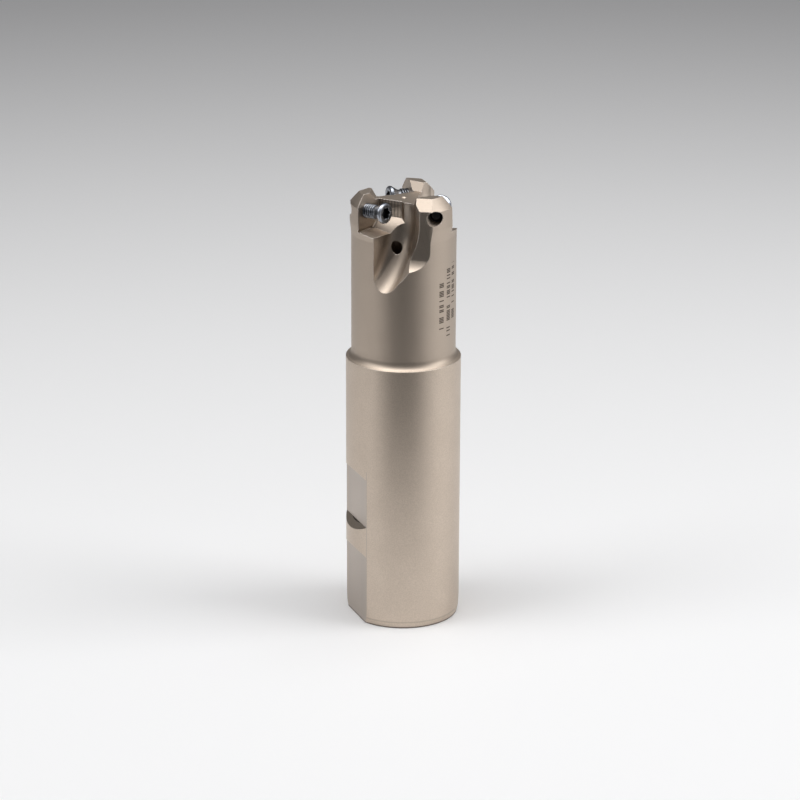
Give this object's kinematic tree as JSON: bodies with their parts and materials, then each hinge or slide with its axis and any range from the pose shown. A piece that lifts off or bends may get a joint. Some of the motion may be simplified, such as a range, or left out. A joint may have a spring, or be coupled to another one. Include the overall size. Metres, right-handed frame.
{
  "type": "indexable face mill",
  "caption": "Indexable face mill for round inserts: one-piece fluted cutter on a side-lock shank, empty insert seats with clamp screws backed out, coolant holes in the flutes.",
  "frame": {"origin": "centre of the shank's end face", "axes": "+Z along the cutter's axis, from the shank end to the cutting end; the clamping flats face -X"},
  "size_m": [0.032, 0.032, 0.1234],
  "materials": {
    "nickel_plated_steel": "satin nickel plate over ground and milled steel; blasted matt neck",
    "screw_steel": "bright machined steel"
  },
  "bodies": {
    "cutter": {"cutter_body": "nickel_plated_steel"},
    "screw_1": {"insert_screw_1": "screw_steel"},
    "screw_2": {"insert_screw_2": "screw_steel"},
    "screw_3": {"insert_screw_3": "screw_steel"}
  },
  "joints": [
    {"name": "screw_1_travel", "type": "slide", "parent": "cutter", "child": "screw_1", "axis": [0.4887, -0.8709, 0.0523], "range_m": [-0.00245, 0.0021]},
    {"name": "screw_2_travel", "type": "slide", "parent": "cutter", "child": "screw_2", "axis": [0.5098, 0.8587, 0.0523], "range_m": [-0.0028, 0.0021]},
    {"name": "screw_3_travel", "type": "slide", "parent": "cutter", "child": "screw_3", "axis": [-0.9986, 0.0122, 0.0523], "range_m": [-0.0014, 0.0021]}
  ]
}
